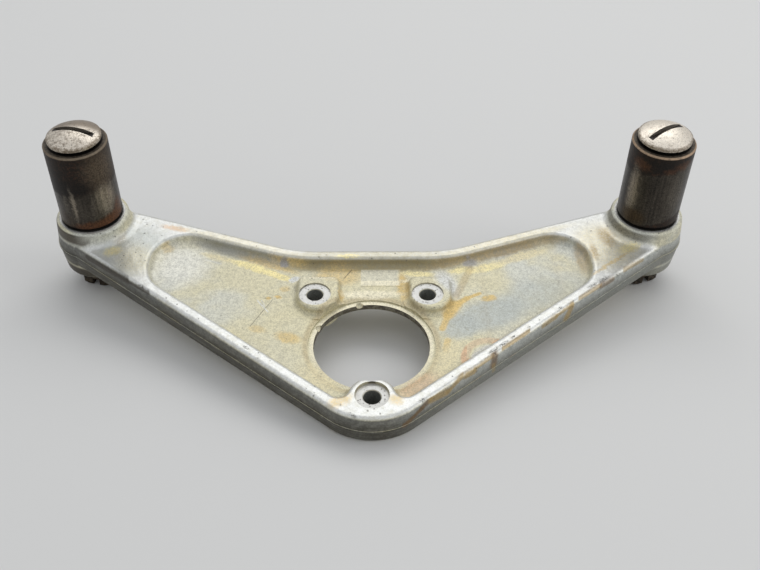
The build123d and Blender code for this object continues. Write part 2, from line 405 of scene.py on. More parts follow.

# Stains, tints and painted highlights on the upper skin of the forging: label, centre, half
# sizes, turn in degrees, paint, strength and softness of the edge
WEB_PATCHES = (
    ("olive wall behind the bore", (-2, 43.6), (33, 3), 0, "olive", 0.85, 0.35),
    ("olive wall of the right arm", (50, 51), (27, 2.4), 18, "ochre", 0.75, 0.4),
    ("its outer end", (80, 59.5), (8, 2.2), 0, "ochre", 0.45, 0.5),
    ("olive end of the right pocket", (88, 49), (2.6, 10), 0, "ochre", 0.6, 0.45),
    ("slate wall of the left arm", (-55, 52), (19, 2.9), -20, "slate", 0.75, 0.4),
    ("tan wall of the left arm", (-34, 46.2), (8, 2.2), -18, "amber", 0.6, 0.4),
    # Painted reflection that lightens the left end of the pocket
    ("light end of the left pocket", (-79, 45), (11, 12), 0, "reflected light", 0.85, 0.6),
    ("tan at the left pocket end", (-85, 54.5), (2.6, 1.8), 20, "amber", 0.45, 0.5),
    ("gold streak, pale outer end", (-63.5, 49.6), (8, 1.5), -20, "pale gold", 0.8, 0.35),
    ("gold streak, bright middle", (-47.5, 43.2), (11, 2), -24, "gold", 1, 0.4),
    ("gold streak, inner end", (-37.5, 38), (6.5, 1.7), -25, "gold", 1, 0.35),
    ("tan above the gold streak", (-42, 45), (12, 1.8), -23, "amber", 0.6, 0.45),
    ("bare blotch left of the pad", (-31.3, 36.2), (2.2, 1.5), 40, "clean", 1, 0.35),
    ("lavender blotch, left", (-35.9, 44.9), (1.7, 1.6), 0, "lavender", 0.9, 0.3),
    ("lavender blotch, right", (41, 45.3), (3.2, 1.8), 30, "lavender", 0.8, 0.35),
    ("amber speck", (-41.1, 25.3), (1.1, 0.8), 0, "amber", 1, 0.4),
    ("second amber speck", (-37.2, 25.9), (1.5, 0.7), -10, "amber", 0.9, 0.4),
    ("amber ring beside the pad", (-34.7, 30.5), (1.9, 1.4), 0, "amber", 0.6, 0.5),
    ("amber below the scratch", (-44, 8), (3, 1.8), -20, "amber", 0.5, 0.5),
    ("amber left of the bore", (-32, 3.5), (5, 2.6), -20, "amber", 0.7, 0.4),
    ("tan web between the pads", (-13.5, 38), (9, 5.5), 0, "amber", 0.6, 0.4),
    ("ochre right of the step", (12.8, 31.5), (2.4, 8), 5, "amber", 0.9, 0.4),
    ("amber tag by the left pad", (-12, 26.3), (1.1, 3), 0, "amber", 0.9, 0.4),
    # Painted highlights: the bright band on the slope behind the bore and the bright edges of the
    # pads
    ("bright band behind the bore", (-0.5, 27.2), (12.5, 2), 0, "bright cream", 1, 0.5),
    ("bright edge of the left pad", (-21.5, 33.8), (7.5, 1.1), 0, "bright cream", 0.8, 0.5),
    ("bright edge of the right pad", (19, 34.8), (7, 1.2), 0, "bright cream", 0.8, 0.5),
    ("cream over the right pad", (19.5, 39.3), (7, 1.6), -5, "gold", 0.75, 0.4),
    ("amber right of the right pad", (36.6, 41.6), (4.5, 1.8), 15, "gold", 0.8, 0.45),
    ("white round the right pad", (30.5, 33), (4.2, 8), 20, "clean", 0.85, 0.45),
    ("cream streak, right arm inner", (48, 43), (9, 2.2), 20, "gold", 0.75, 0.4),
    ("cream streak, right arm", (63, 50), (12, 2.4), 22, "pale gold", 0.9, 0.45),
    ("clean grey patch, inner end", (34.5, 9), (7.5, 6.5), 30, "grey", 0.85, 0.3),
    ("clean grey patch, middle", (46, 15.6), (14.5, 8), 22, "grey", 0.9, 0.35),
    ("clean grey patch, outer end", (65, 26.5), (17, 8.5), 27, "grey", 0.7, 0.55),
    ("amber past the grey patch", (47, 24.8), (3, 1.8), 20, "amber", 0.9, 0.35),
    ("amber below the grey patch", (28.5, -1), (1.5, 4), -15, "amber", 0.8, 0.45),
    ("tan below the bore, left", (-19, -16.5), (9, 5), -40, "pale gold", 0.8, 0.5),
    ("tan below the bore, right", (17, -21), (9, 4), 40, "pink", 0.6, 0.5),
    ("tan right of the bore", (28, -7.5), (4, 9), -30, "pale gold", 0.8, 0.5),
)

# Thin marks on the upper skin: label, both ends, half width, paint and strength
WEB_STREAKS = (
    ("dried edge of the stain", (43.5, 27.6), (38.2, 24.8), 0.8, "amber", 0.95),
    ("dried edge, second stretch", (38.2, 24.8), (33.6, 21.2), 1.3, "amber", 0.95),
    ("dried edge, third stretch", (33.6, 21.2), (30.2, 15.6), 2.3, "amber", 0.95),
    ("dried edge, last stretch", (30.2, 15.6), (27.4, 8), 1.3, "amber", 0.85),
    ("faint run towards the rim", (41, 42.5), (34, 26), 1.5, "ochre", 0.4),
    ("dark scratch", (-39.2, 24.4), (-46.9, 9.7), 0.13, "dark", 0.7),
    ("pale scratch", (-45.4, 24.2), (-40.5, 17.4), 0.2, "clean", 0.9),
    ("second pale scratch", (-43.6, 24), (-42, 20.6), 0.15, "clean", 0.8),
    ("dark scratch between the pads", (-10.8, 36.9), (-8, 41.8), 0.2, "dark", 0.7),
    ("pale line in the left pocket", (-68.5, 48.3), (-62, 45.8), 0.5, "clean", 0.4),
)

# Tints on the plates at the tips and on the crests: as the patches above
RIM_PATCHES = (
    ("dull skin of the left plate", (-98, 50), (13, 15), 0, "grey", 0.85, 0.4),
    ("cream on the left plate", (-96, 44), (7, 9), 30, "pale gold", 0.6, 0.6),
    ("gold on the left plate", (-106.5, 49), (3.4, 2.6), 30, "gold", 0.9, 0.5),
    ("tan at the left boss foot", (-105, 57), (2.5, 4), 0, "ochre", 0.4, 0.6),
    ("tan where the back rim starts", (-82.5, 63.6), (6, 1.6), -17, "pink", 0.9, 0.45),
    ("cream on the back crest, left", (-55, 54.8), (26, 2.6), -19, "pale gold", 0.6, 0.4),
    ("cream on the back crest", (0, 46.6), (36, 3), 0, "back cream", 0.9, 0.4),
    ("gold on the back crest", (-9.5, 45.9), (5, 1.1), 0, "gold", 0.9, 0.35),
    ("cream on the back crest, right", (57, 55.6), (28, 2.6), 19, "pale gold", 0.7, 0.4),
    ("dull skin of the right plate", (98, 52), (13, 14), 0, "pale gold", 0.75, 0.4),
    ("ochre by the right boss", (99, 57.5), (3, 6), 10, "ochre", 0.75, 0.5),
    ("brown at the right boss foot", (105.6, 62), (2, 4), 20, "brown", 0.6, 0.6),
    ("gold on the right plate", (107.5, 50.3), (5, 2.4), 25, "gold", 0.9, 0.5),
    ("brown by the right pocket", (92.4, 48), (1.5, 4.6), 0, "ochre", 0.8, 0.5),
    ("tan line along the right crest", (97.5, 40.5), (12, 0.9), 38, "amber", 0.75, 0.5),
    ("amber left of the front hole", (-11.5, -31.5), (4.6, 2.4), 35, "amber", 0.8, 0.5),
    ("amber right of the front hole", (8.6, -31), (3, 2.2), -25, "amber", 0.7, 0.5),
)

# Runs of old oil and dark lines on the front walls, in X and Z: label, both ends, half width,
# paint, strength
WALL_RUNS = (
    ("run right of the nose", (11.5, 0.6), (17.5, 3.8), 1, "brown", 0.95),
    ("its upper end", (17.5, 3.8), (20.6, 5.2), 1.1, "brown", 0.8),
    ("blot past it", (21.5, 4.8), (27.4, 3.6), 1.5, "ochre", 0.85),
    ("smear up to the crest", (27.4, 3.6), (32.6, 5.9), 0.9, "ochre", 0.8),
    ("blot below the crest", (34.5, 5.2), (37.5, 4.8), 1.1, "ochre", 0.8),
    ("tan line under the crest", (37.5, 5.6), (45, 5.9), 0.5, "ochre", 0.7),
    ("brown drop", (45.6, 5.4), (45.4, 2), 1.4, "brown", 0.8),
    ("its faint tail", (45.4, 2), (45.8, -2), 0.7, "ochre", 0.5),
    ("tan line past the drop", (49, 6), (60, 6.1), 0.45, "ochre", 0.8),
    ("second tan line", (66, 4.9), (71.5, 5.1), 0.9, "ochre", 0.7),
    ("tan line above the stain", (71.5, 5.4), (79, 5.8), 0.5, "ochre", 0.7),
    ("tan stain", (78.2, 4.8), (76.6, 1.6), 1.4, "ochre", 0.85),
    ("third tan line", (82, 6), (92, 5.8), 0.45, "ochre", 0.7),
    ("worn smear near the boss", (92, 5.6), (97.5, 5.2), 0.9, "brown", 0.7),
    ("tan line to the boss", (103, 5.8), (112, 5.2), 0.6, "ochre", 0.6),
    ("dark line along the left arm", (-117, 4), (-98, 5), 1.2, "dark", 0.9),
    ("its thin end", (-98, 5), (-88, 5.6), 0.6, "dark", 0.7),
)

# Dark nicks knocked into the crest of the front rim: centre and half sizes
CREST_NICKS = (
    ((-91.3, 28.1), (1.2, 0.7)), ((-46.8, -5.6), (1.3, 0.5)), ((-6.8, -38), (1.6, 0.6)),
    ((17.7, -31.3), (1.1, 0.7)), ((45.5, -7.2), (2.6, 0.6)), ((49.5, -4), (2.2, 0.6)),
    ((53.5, -0.6), (1.4, 0.5)), ((73.5, 15), (0.9, 0.6)), ((88.5, 28), (2.4, 0.6)),
    ((93.4, 31.2), (2.4, 0.8)), ((99.8, 34.6), (1.6, 0.5)), ((60, 4.5), (0.7, 0.4)),
)

# Wear on the rollers, and painted sheens and shade on their round sides: label, angle about the
# axis in degrees and height above the lower end, half sizes, paint, strength and softness of the
# edge
ROLLER_MARKS = {
    "left": (
        ("soot above the rubbed zone", (-100, 20.8), (13, 3.4), "soot", 0.75, 0.5),
        # Polished steel with a painted sheen on the side that faces the right, and its bright edge
        ("polished place", (-38, 13), (4.2, 6.4), "bright", 0.85, 0.65),
        ("its bright edge", (-45, 14), (0.7, 5.5), "bright", 0.8, 0.6),
        ("steel between", (-66, 11), (5, 6), "steel", 0.6, 0.7),
        ("paler skin at the right", (-36, 27.5), (7, 8), "roller brown", 0.75, 0.7),
        # Painted shade on the side of the roller that faces left
        ("soot at the left", (-128, 22), (6, 8), "soot", 0.6, 0.7),
        ("soot beside the polished place", (-78, 16), (2.2, 7), "soot", 0.5, 0.7),
        # Painted sheen: an upright bright streak on the front
        ("bright streak", (-101, 12), (0.9, 7), "bright", 0.6, 0.8),
        ("faint streak", (-117, 12), (1.2, 5), "steel", 0.7, 0.6),
        ("rust at the lower edge", (-30, 2.4), (6, 2.8), "rust", 0.95, 0.5),
        ("rust beside the polished place", (-12, 6), (2.6, 4), "rust", 0.8, 0.5),
        ("rust at the front", (-75, 1.8), (7, 2), "rust", 0.8, 0.5),
        ("umber at the left", (-135, 4), (5, 4), "umber", 0.7, 0.5),
    ),
    "right": (
        ("bright sheen", (-148, 15), (2.4, 11), "bright", 0.75, 0.6),
        # Painted shade at the left edge of the roller, beside the sheen
        ("dark beside the sheen", (-168, 16), (2.6, 11), "soot", 0.45, 0.6),
        ("grey sheen", (-62, 17), (3.6, 9), "steel", 0.7, 0.6),
        ("soot in the middle", (-112, 22), (4, 5), "soot", 0.35, 0.6),
        ("umber at the foot", (-140, 4.4), (6, 3.4), "umber", 0.85, 0.5),
        ("dark top band", (-100, 31.5), (16, 2.8), "soot", 0.8, 0.6),
        ("rust under the top, right", (-60, 31), (4, 2), "rust", 0.45, 0.5),
        ("rust under the top, front", (-84, 29), (2.4, 1.6), "rust", 0.4, 0.5),
        ("rust under the top, left", (-140, 30), (4, 2.4), "rust", 0.45, 0.5),
    ),
}

# Where the rubbed zone of each roller ends, and how much that rises per millimetre towards +X
RUBBED_ZONES = {"left": (17.5, 0.1), "right": (28.0, 0.32)}

# Light and dark colour, least roughness and scale of the mottle of the small steels
SMALL_STEELS = {
    "washer_steel": (srgb(84, 76, 66), srgb(46, 40, 34), 0.4, 0.6),
    "nut_steel": (srgb(86, 76, 62), srgb(44, 37, 30), 0.38, 0.5),
    "pin_steel": (srgb(186, 180, 168), srgb(120, 112, 100), 0.34, 0.8),
    "thread_steel": (srgb(150, 144, 134), srgb(90, 80, 70), 0.36, 0.7),
}


def colour_setting(name, description, *levels):
    """A colour that the panel shows."""
    return FloatVectorProperty(name=name, description=description, subtype="COLOR", size=4,
                               min=0, max=1, default=srgb(*levels))


def number_setting(name, description, default, subtype, unit="NONE", **limits):
    """A number that the panel shows, with its unit and its limits."""
    return FloatProperty(name=name, description=description, default=default, subtype=subtype,
                         unit=unit, **limits)


class ForgingFinish(bpy.types.PropertyGroup):
    """Colours and roughness of the aluminium forging."""

    metal: colour_setting("Metal", "Bare grey skin of the forging", 202, 202, 190)
    tint: colour_setting("Tint", "Yellow tint left by the old surface treatment", 210, 202, 168)
    worn: colour_setting("Worn", "Metal rubbed bright on crests and cut faces", 222, 222, 217)
    # Painted shade and old dirt of the outer walls, darkest on the left arm
    grime: colour_setting("Grime", "Painted shade and old dirt on the outer walls", 50, 47, 38)
    roughness: number_setting("Roughness", "Roughness of the forged skin", 0.46, "FACTOR",
                              min=0, max=1)


class RollerFinish(bpy.types.PropertyGroup):
    """Colours of the two steel rollers."""

    steel: colour_setting("Steel", "Rubbed grey steel of the rollers", 66, 61, 54)
    patina: colour_setting("Patina", "Dark brown skin where nothing rubs", 35, 27, 21)
    rust: colour_setting("Rust", "Red-brown rust in the mottled places", 72, 48, 33)
    roughness: number_setting("Roughness", "Roughness of the worn steel", 0.34, "FACTOR",
                              min=0, max=1)


class FastenerFinish(bpy.types.PropertyGroup):
    """Colours of the bolts, washers, nuts and pins, and the size of the thread."""

    head: colour_setting("Head", "Plated steel of the bolt heads", 236, 226, 210)
    tarnish: colour_setting("Tarnish", "Brown tarnish on the fasteners", 118, 102, 84)
    thread_pitch: number_setting("Thread pitch", "Rise of the thread in one turn", 1.27 * MM,
                                 "DISTANCE", "LENGTH", min=0.0005)
    thread_radius: number_setting("Thread radius", "Radius of the thread's crest", 6.32 * MM,
                                  "DISTANCE", "LENGTH", min=0.001)
    thread_depth: number_setting("Thread depth", "Height of the ridge of the thread", 0.42 * MM,
                                 "DISTANCE", "LENGTH", min=0.0001)
    thread_steps: IntProperty(name="Thread steps", description="Facets in one turn of the thread",
                              min=12, default=48)


class StageSettings(bpy.types.PropertyGroup):
    """The floor, the lamps and the camera."""

    floor: colour_setting("Floor", "Colour of the pale floor", 214, 213, 210)
    floor_size: number_setting("Floor size", "Length of one side of the floor", 5.0,
                               "DISTANCE", "LENGTH", min=0.5)
    back_lamp: number_setting("Back lamp", "Power of the softbox behind the part", 4.8,
                              "POWER", "POWER", min=0)
    side_lamp: number_setting("Side lamp", "Power of the softbox on the right", 2.3,
                              "POWER", "POWER", min=0)
    zenith: colour_setting("Zenith", "Light from straight above", 218, 221, 226)
    horizon: colour_setting("Horizon", "Light from the sides", 180, 181, 182)
    camera_place: FloatVectorProperty(name="Camera place", description="Where the camera stands",
                                      subtype="XYZ", unit="LENGTH", size=3,
                                      default=(-0.00184, -0.255894, 0.27295))
    camera_yaw: number_setting("Camera yaw", "Turn of the view towards +X",
                               math.radians(1.0768), "ANGLE", "ROTATION")
    camera_pitch: number_setting("Camera pitch", "How far the view looks down",
                                 math.radians(43.168), "ANGLE", "ROTATION")
    camera_roll: number_setting("Camera roll", "Turn of the picture about its middle",
                                math.radians(0.58), "ANGLE", "ROTATION")
    camera_lens: number_setting("Camera lens", "Focal length on a 36 mm wide sensor", 46.36,
                                "DISTANCE_CAMERA", min=10)


class Skin:
    """What the layers of paint on the forging need to know about a point."""

    def __init__(self, w):
        self.place = place_in_mm(w)
        self.x, self.y, self.z = w.split(self.place)
        self.height = w.maths("ABSOLUTE", self.z)
        self.upper = w.smooth(self.z, -0.6, 0.4)
        normal = w.split(w.add("ShaderNodeNewGeometry").outputs["Normal"])
        self.facing = w.maths("ABSOLUTE", normal[2])
        self.leftward = w.smooth(normal[0], 0.35, -0.45)
        self.front = w.smooth(normal[1], 0.1, -0.3)
        self.from_bore = w.from_axis(self.place)
        self.outward = self.turned_out(w, normal)
        self.ragged = w.use("wandering_place", place=self.place, scale=0.55, push=2.6)
        self.slight = w.use("wandering_place", place=self.place, scale=1.2, push=0.7)
        self.mottle = w.noise(self.place, 0.55, 4.0, 0.62)
        self.fine = w.noise(self.place, 1.7, 3.0, 0.75)

    def turned_out(self, w, normal):
        """Mask of the outer walls: seen from inside a pocket, their normals point away."""
        pocket_x, pocket_y = 50.0, 20.0
        side = w.maths("SIGN", self.x)
        along = w.times(w.maths("SUBTRACT", w.maths("ABSOLUTE", self.x), pocket_x), normal[0], side)
        across = w.times(w.maths("SUBTRACT", self.y, pocket_y), normal[1])
        return w.times(w.smooth(w.maths("ADD", along, across), -4.0, 4.0),
                       w.smooth(self.from_bore, OUTSIDE_R, OUTSIDE_R + 0.2))


def paint_patches(w, colour, place, patches, where):
    """Lays a list of oval patches over a colour."""
    for name, centre, half, turn, paint, strength, edge in patches:
        mask = w.oval(place, (*centre, 0.0), (*half, PATCH_HALF_HEIGHT), math.radians(turn), edge)
        mask.node.label = name
        colour = w.paint(colour, paint, mask, where, strength)
    return colour


def paint_streaks(w, colour, place, streaks, where, upright=False):
    """Lays a list of thin marks over a colour, read from above, or from the front if upright."""
    for name, start, end, width, paint, strength in streaks:
        ends = [(x, 0.0, across) if upright else (x, across, 0.0) for x, across in (start, end)]
        mask = w.use("streak_mask", place=place, start=ends[0], end=ends[1], width=width, edge=0.5)
        mask.node.label = name
        colour = w.paint(colour, paint, mask, where, strength)
    return colour


def web_colours(w, skin, settings):
    """Bare metal, yellow tint, every stain and the painted highlights and shade on the upper skin.
    """
    cloud = w.noise(skin.place, 0.045, 3.0, 0.55)
    tinted = w.smooth(cloud, 0.36, 0.62)
    colour = w.coats(w.times(tinted, 0.8), settings.metal, settings.tint)
    middle = w.oval(skin.place, (0, 8, 0), (52, 50, 80), 0.0, 0.5)
    colour = w.coats(w.times(middle, 0.75), colour, settings.tint)
    broken = w.smooth(w.maths("ADD", w.times(skin.mottle, 0.6), w.times(skin.fine, 0.5)),
                      0.36, 0.62, 0.62, 1.0)
    colour = bore_edge(w, colour, skin)
    colour = paint_patches(w, colour, skin.ragged, WEB_PATCHES, w.times(skin.upper, broken))
    level = w.vector("MULTIPLY", skin.slight, (1, 1, 0))
    colour = paint_streaks(w, colour, level, WEB_STREAKS, skin.upper)
    colour = arc_stain(w, colour, skin)
    return square_tint(w, colour, skin)


def bore_edge(w, colour, skin):
    """Painted shade on the wall of the bearing bore and in the duller dish round it, and a painted
    highlight on its bright lip.
    """
    away = skin.from_bore
    # Painted shade in the dish round the lip
    dish = w.times(w.smooth(away, LIP_R - 0.3, LIP_R + 0.5),
                   w.smooth(away, LIP_R + 3.0, LIP_R + 1.0), skin.upper)
    colour = w.paint(colour, "ochre", dish, 0.4)
    # Painted highlight on the lip of the bore, stronger towards the back
    lip = w.times(w.smooth(away, LIP_R - 0.4, LIP_R - 1.1),
                  w.smooth(skin.y, -18.0, 2.0, 0.2, 0.9))
    colour = w.paint(colour, "bright cream", lip, skin.upper)
    # Painted shade on the wall of the bore
    wall = w.times(w.smooth(away, BORE_R + 0.5, BORE_R + 0.2), w.smooth(skin.facing, 0.8, 0.4))
    return w.paint(colour, "boss shade", wall, w.smooth(skin.mottle, 0.35, 0.6, 0.7, 0.95))


def arc_stain(w, colour, skin):
    """Pinkish ring left by something wet that stood against the front rim of the right arm."""
    centre = (44.5, -8.0, 0.0)
    ring = w.use("ring_mask", place=skin.slight, centre=centre, radius=9.6, width=1.5, edge=0.35)
    inside = w.times(skin.upper, w.inverse(skin.outward))
    colour = w.paint(colour, "pink", ring, inside, 0.9)
    inner = w.use("ring_mask", place=skin.slight, centre=centre, radius=5.6, width=1.6, edge=0.4)
    return w.paint(colour, "clean", inner, inside, 0.8)


def square_tint(w, colour, skin):
    """Straight-edged place behind the bore where the tint was masked off, with a bright strip along
    its step and a painted shadow line at the step itself.
    """
    left, right, low, high = -4.1, 11.3, 32.4, 41.2
    across = w.times(w.smooth(skin.x, left - 0.2, left + 0.2),
                     w.smooth(skin.x, right + 0.9, right - 0.9))
    along = w.times(w.smooth(skin.y, low - 0.15, low + 0.15), w.smooth(skin.y, high + 1.0, high))
    bare = w.times(across, along, skin.upper)
    colour = w.paint(colour, "masked skin", bare, 0.85)
    lower_part = w.smooth(skin.y, 35.6, 34.6)
    colour = w.paint(colour, "bright cream", bare, lower_part, 0.9)
    # Painted shadow line along the step at the front edge of the place
    step = w.times(w.smooth(skin.x, left - 1.0, left), w.smooth(skin.x, right + 1.0, right),
                   w.smooth(w.gap(skin.y, low - 0.5), 0.45, 0.1))
    return w.paint(colour, "olive", step, skin.upper, 0.3)


def wall_colours(w, colour, skin, settings):
    """Old dirt and painted shade on the outer walls, near black on the left arm and grey on the
    right; painted sheen below the crests and painted shade on the boss walls.
    """
    upright = w.smooth(skin.facing, 0.78, 0.4)
    lines = w.noise(w.vector("MULTIPLY", skin.place, LEVEL_LINES), 1.0, 3.0, 0.6)
    worn_through = w.smooth(w.maths("ADD", w.times(lines, 0.6), w.times(skin.mottle, 0.4)),
                            0.42, 0.66, 0.0, 0.3)
    # Old dirt and painted shade of the walls, darkest on the left arm
    dirt = w.paint(settings.grime, "slate", worn_through)
    dirt = w.paint(dirt, "wall grey", w.smooth(skin.x, *WALL_CHANGE))
    # Painted sheen: the upper wall under the crest made lighter, mostly on the right arm
    under_crest = w.times(w.smooth(skin.z, 0.5, RIM_TOP - 1.6),
                          w.smooth(skin.x, *WALL_CHANGE, 0.2, 0.9))
    dirt = w.paint(dirt, "wall sheen", under_crest)
    below_crest = w.smooth(skin.height, RIM_TOP + 0.4, RIM_TOP - 1.4)
    colour = w.coats(w.times(upright, below_crest, skin.outward, 0.93), colour, dirt)
    boss_wall = w.times(upright, w.smooth(skin.height, RIM_TOP - 0.6, RIM_TOP + 1.4))
    # Painted shade on the boss walls below the parting plane, brown on the left and grey on the
    # right
    low_boss = w.times(boss_wall, w.smooth(skin.z, 0.0, -1.0), 0.8)
    low_paint = w.paint(PAINTS["boss shade"], "wall grey", w.smooth(skin.x, *BOSS_CHANGE))
    colour = w.coats(low_boss, colour, low_paint)
    # Painted shade on the boss walls that face left, strongest on the left boss
    shaded = w.times(boss_wall, skin.leftward, w.smooth(skin.x, *BOSS_CHANGE, 0.95, 0.6))
    return w.paint(colour, "boss shade", shaded)


def crest_colours(w, colour, skin, settings):
    """Crests rubbed bright, partly a painted highlight, with the tints, the runs of oil, the dark
    lines and the nicks that lie over them.
    """
    beside_pads = w.times(w.smooth(w.maths("ABSOLUTE", skin.x), 37.0, 34.0),
                          w.smooth(skin.y, 7.0, 10.0), w.smooth(skin.y, 40.0, 37.0))
    # Rubbed metal on the crests, kept to their up-facing tops, where it is partly a painted
    # highlight
    crest = w.times(w.smooth(skin.height, RIM_TOP - 2.1, RIM_TOP - 0.5),
                    w.smooth(skin.facing, 0.45, 0.9),
                    w.smooth(skin.height, RIM_TOP + 5.0, RIM_TOP + 0.5), w.inverse(beside_pads))
    colour = w.coats(w.times(crest, w.smooth(skin.mottle, 0.25, 0.6, 0.7, 1.0)), colour,
                     settings.worn)
    broken = w.smooth(skin.fine, 0.36, 0.62, 0.4, 1.0)
    colour = paint_patches(w, colour, skin.ragged, RIM_PATCHES, w.times(crest, broken))
    read_from_front = w.vector("MULTIPLY", skin.slight, (1, 0, 1))
    colour = paint_streaks(w, colour, read_from_front, WALL_RUNS, w.times(skin.front, skin.outward),
                           upright=True)
    nicks = 0.0
    for centre, half in CREST_NICKS:
        turn = math.radians(38 if centre[0] > 0 else -38)
        nick = w.oval(skin.slight, (*centre, RIM_TOP), (*half, 3.0), turn, 0.5)
        nicks = w.maths("MAXIMUM", nicks, nick)
    nicks = w.times(nicks, w.smooth(skin.fine, 0.46, 0.58, 0.0, 0.8))
    pocks = w.use("speck_mask", place=skin.slight, scale=0.42, size=0.2, share=0.4)
    pocks = w.times(pocks, skin.upper, w.smooth(skin.height, 2.0, 6.0, 0.3, 0.6))
    nicks = w.maths("MAXIMUM", nicks, pocks)
    return w.paint(colour, "dark", nicks), crest, nicks


def cut_faces(w, skin):
    """Masks of what the cutters left, the spotfaces and the boss ends, with their fine rings."""
    level = w.smooth(w.gap(skin.height, SPOTFACE_TOP), 0.12, 0.04)
    faces = [(centre, SPOTFACE_R + 0.1, level) for centre in BOLT_HOLES]
    top = w.smooth(skin.height, BOSS_TOP - 0.15, BOSS_TOP - 0.05)
    faces += [(tip_axis(side), BOSS_FACE_R, top) for side in SIDES]
    bare = 0.0
    rings = 0.0
    for centre, radius, where in faces:
        disc = w.times(w.disc(skin.place, centre, radius), where)
        bare = w.maths("ADD", bare, disc)
        turned = w.use("turned_rings", place=skin.place, centre=centre, pitch=0.6)
        rings = w.maths("ADD", rings, w.times(disc, turned))
    return bare, rings


def holes_and_grease(w, colour, skin):
    """Grey walls of the bolt holes, and a painted black shadow on the bosses close round the
    washers, under the rollers.
    """
    for centre in BOLT_HOLES:
        colour = w.paint(colour, "wall grey", w.disc(skin.place, centre, HOLE_R + 0.1))
    # Painted shadow of the rollers on the boss tops round the washers
    greasy = w.smooth(skin.height, BOSS_TOP - 0.4, BOSS_TOP - 0.2)
    for side in SIDES:
        near = w.disc(skin.slight, tip_axis(side), ROLLER_R + 0.1, edge=0.03)
        colour = w.paint(colour, "roller shadow", near, greasy, 0.95)
    return colour


def forging_material(settings):
    """Worn aluminium forging with patches of yellow tint, stains, bright crests, cut faces, and
    painted shade and highlights.
    """
    material, w, shader = new_finish("worn_forging")
    skin = Skin(w)
    colour = web_colours(w, skin, settings)
    colour = wall_colours(w, colour, skin, settings)
    colour, crest, nicks = crest_colours(w, colour, skin, settings)
    bare, rings = cut_faces(w, skin)
    pits = w.use("speck_mask", place=skin.place, scale=0.95, size=0.32, share=0.45)
    bright = w.paint(settings.worn, "cut face", w.smooth(skin.fine, 0.42, 0.6, 0.6, 1.0))
    bright = w.paint(bright, "dark", pits, 0.6)
    colour = w.coats(bare, colour, bright)
    colour = holes_and_grease(w, colour, skin)
    polished = w.maths("MAXIMUM", bare, crest)
    rough_grain = w.maths("ADD", w.times(skin.mottle, 0.4), w.times(skin.fine, 0.6))
    grain = w.smooth(rough_grain, 0.38, 0.62, w.mixed(polished, 0.74, 0.87),
                     w.mixed(polished, 1.17, 1.06))
    colour = w.grained(colour, grain)
    # Painted shade in the concave corners above the web, from ambient occlusion
    hollow = w.add("ShaderNodeAmbientOcclusion", {"Distance": 3.0 * MM}, samples=8,
                   only_local=True).outputs["AO"]
    corner = w.times(w.smooth(hollow, 0.8, 0.3), w.smooth(skin.height, 2.7, 3.6))
    colour = w.paint(colour, "olive", corner, 0.4)

    w.feed(shader.inputs["Base Color"], colour)
    w.feed(shader.inputs["Metallic"], w.mixed(polished, 0.3, 0.5))
    rough = w.smooth(skin.mottle, 0.25, 0.75, settings.roughness - 0.06, settings.roughness + 0.1)
    w.feed(shader.inputs["Roughness"], w.mixed(polished, rough, 0.34))

    lumps = w.times(w.use("skin_grain", place=skin.place, scale=1.6, coarse=0.35), 0.13)
    waves = w.times(w.noise(skin.place, 0.16, 2.0), 0.3)
    cuts = w.times(rings, 0.02)
    dents = w.times(w.maths("MAXIMUM", nicks, w.times(pits, bare)), -0.12)
    relief = w.maths("ADD", w.maths("ADD", lumps, waves), w.maths("ADD", cuts, dents))
    w.feed(shader.inputs["Normal"], w.bump(relief, MM))
    return material


class FinishForging(bpy.types.Operator):
    """Paints the steering arm as a worn, stained aluminium forging"""

    bl_idname = "steering_arm.finish_forging"
    bl_label = "Finish the forging"

    def execute(self, context):
        give("steering_arm", forging_material(context.scene.forging_finish))
        return {"FINISHED"}


def roller_marks(w, colour, place, side):
    """Lays the marks of one roller over its colour, each where it is on the round side."""
    axis = tip_axis(side)
    for name, (angle, height), half, paint, strength, edge in ROLLER_MARKS[side]:
        turn = math.radians(angle)
        centre = (axis[0] + ROLLER_R * math.cos(turn), axis[1] + ROLLER_R * math.sin(turn),
                  ROLLER_LOW + height)
        mask = w.oval(place, centre, (MARK_HALF_DEPTH, *half), turn, edge)
        mask.node.label = name
        colour = w.paint(colour, paint, mask, strength)
    return colour


def roller_end(w, colour, place, off_axis, mottle, side):
    """Dirty end face of a roller, with a painted shadow under the bolt head and a line of bare
    metal round its outer edge.
    """
    radius = w.from_axis(off_axis)
    end_face = w.smooth(w.split(place)[2], ROLLER_HIGH - 0.7, ROLLER_HIGH - 0.25)
    end_colour = w.paint(PAINTS["roller end"], "roller end, dark", w.smooth(mottle, 0.35, 0.65))
    # Painted shadow of the bolt head on the inner part of the end face
    end_colour = w.paint(end_colour, "soot", w.smooth(radius, 11.2, 10.6))
    colour = w.coats(end_face, colour, end_colour)
    outer_edge = w.times(w.smooth(w.split(place)[2], ROLLER_HIGH - 0.9, ROLLER_HIGH - 0.5),
                         w.smooth(radius, 11.9, 12.3))
    return w.paint(colour, side + " roller edge", outer_edge,
                   w.smooth(mottle, 0.3, 0.55, 0.35, 0.9))


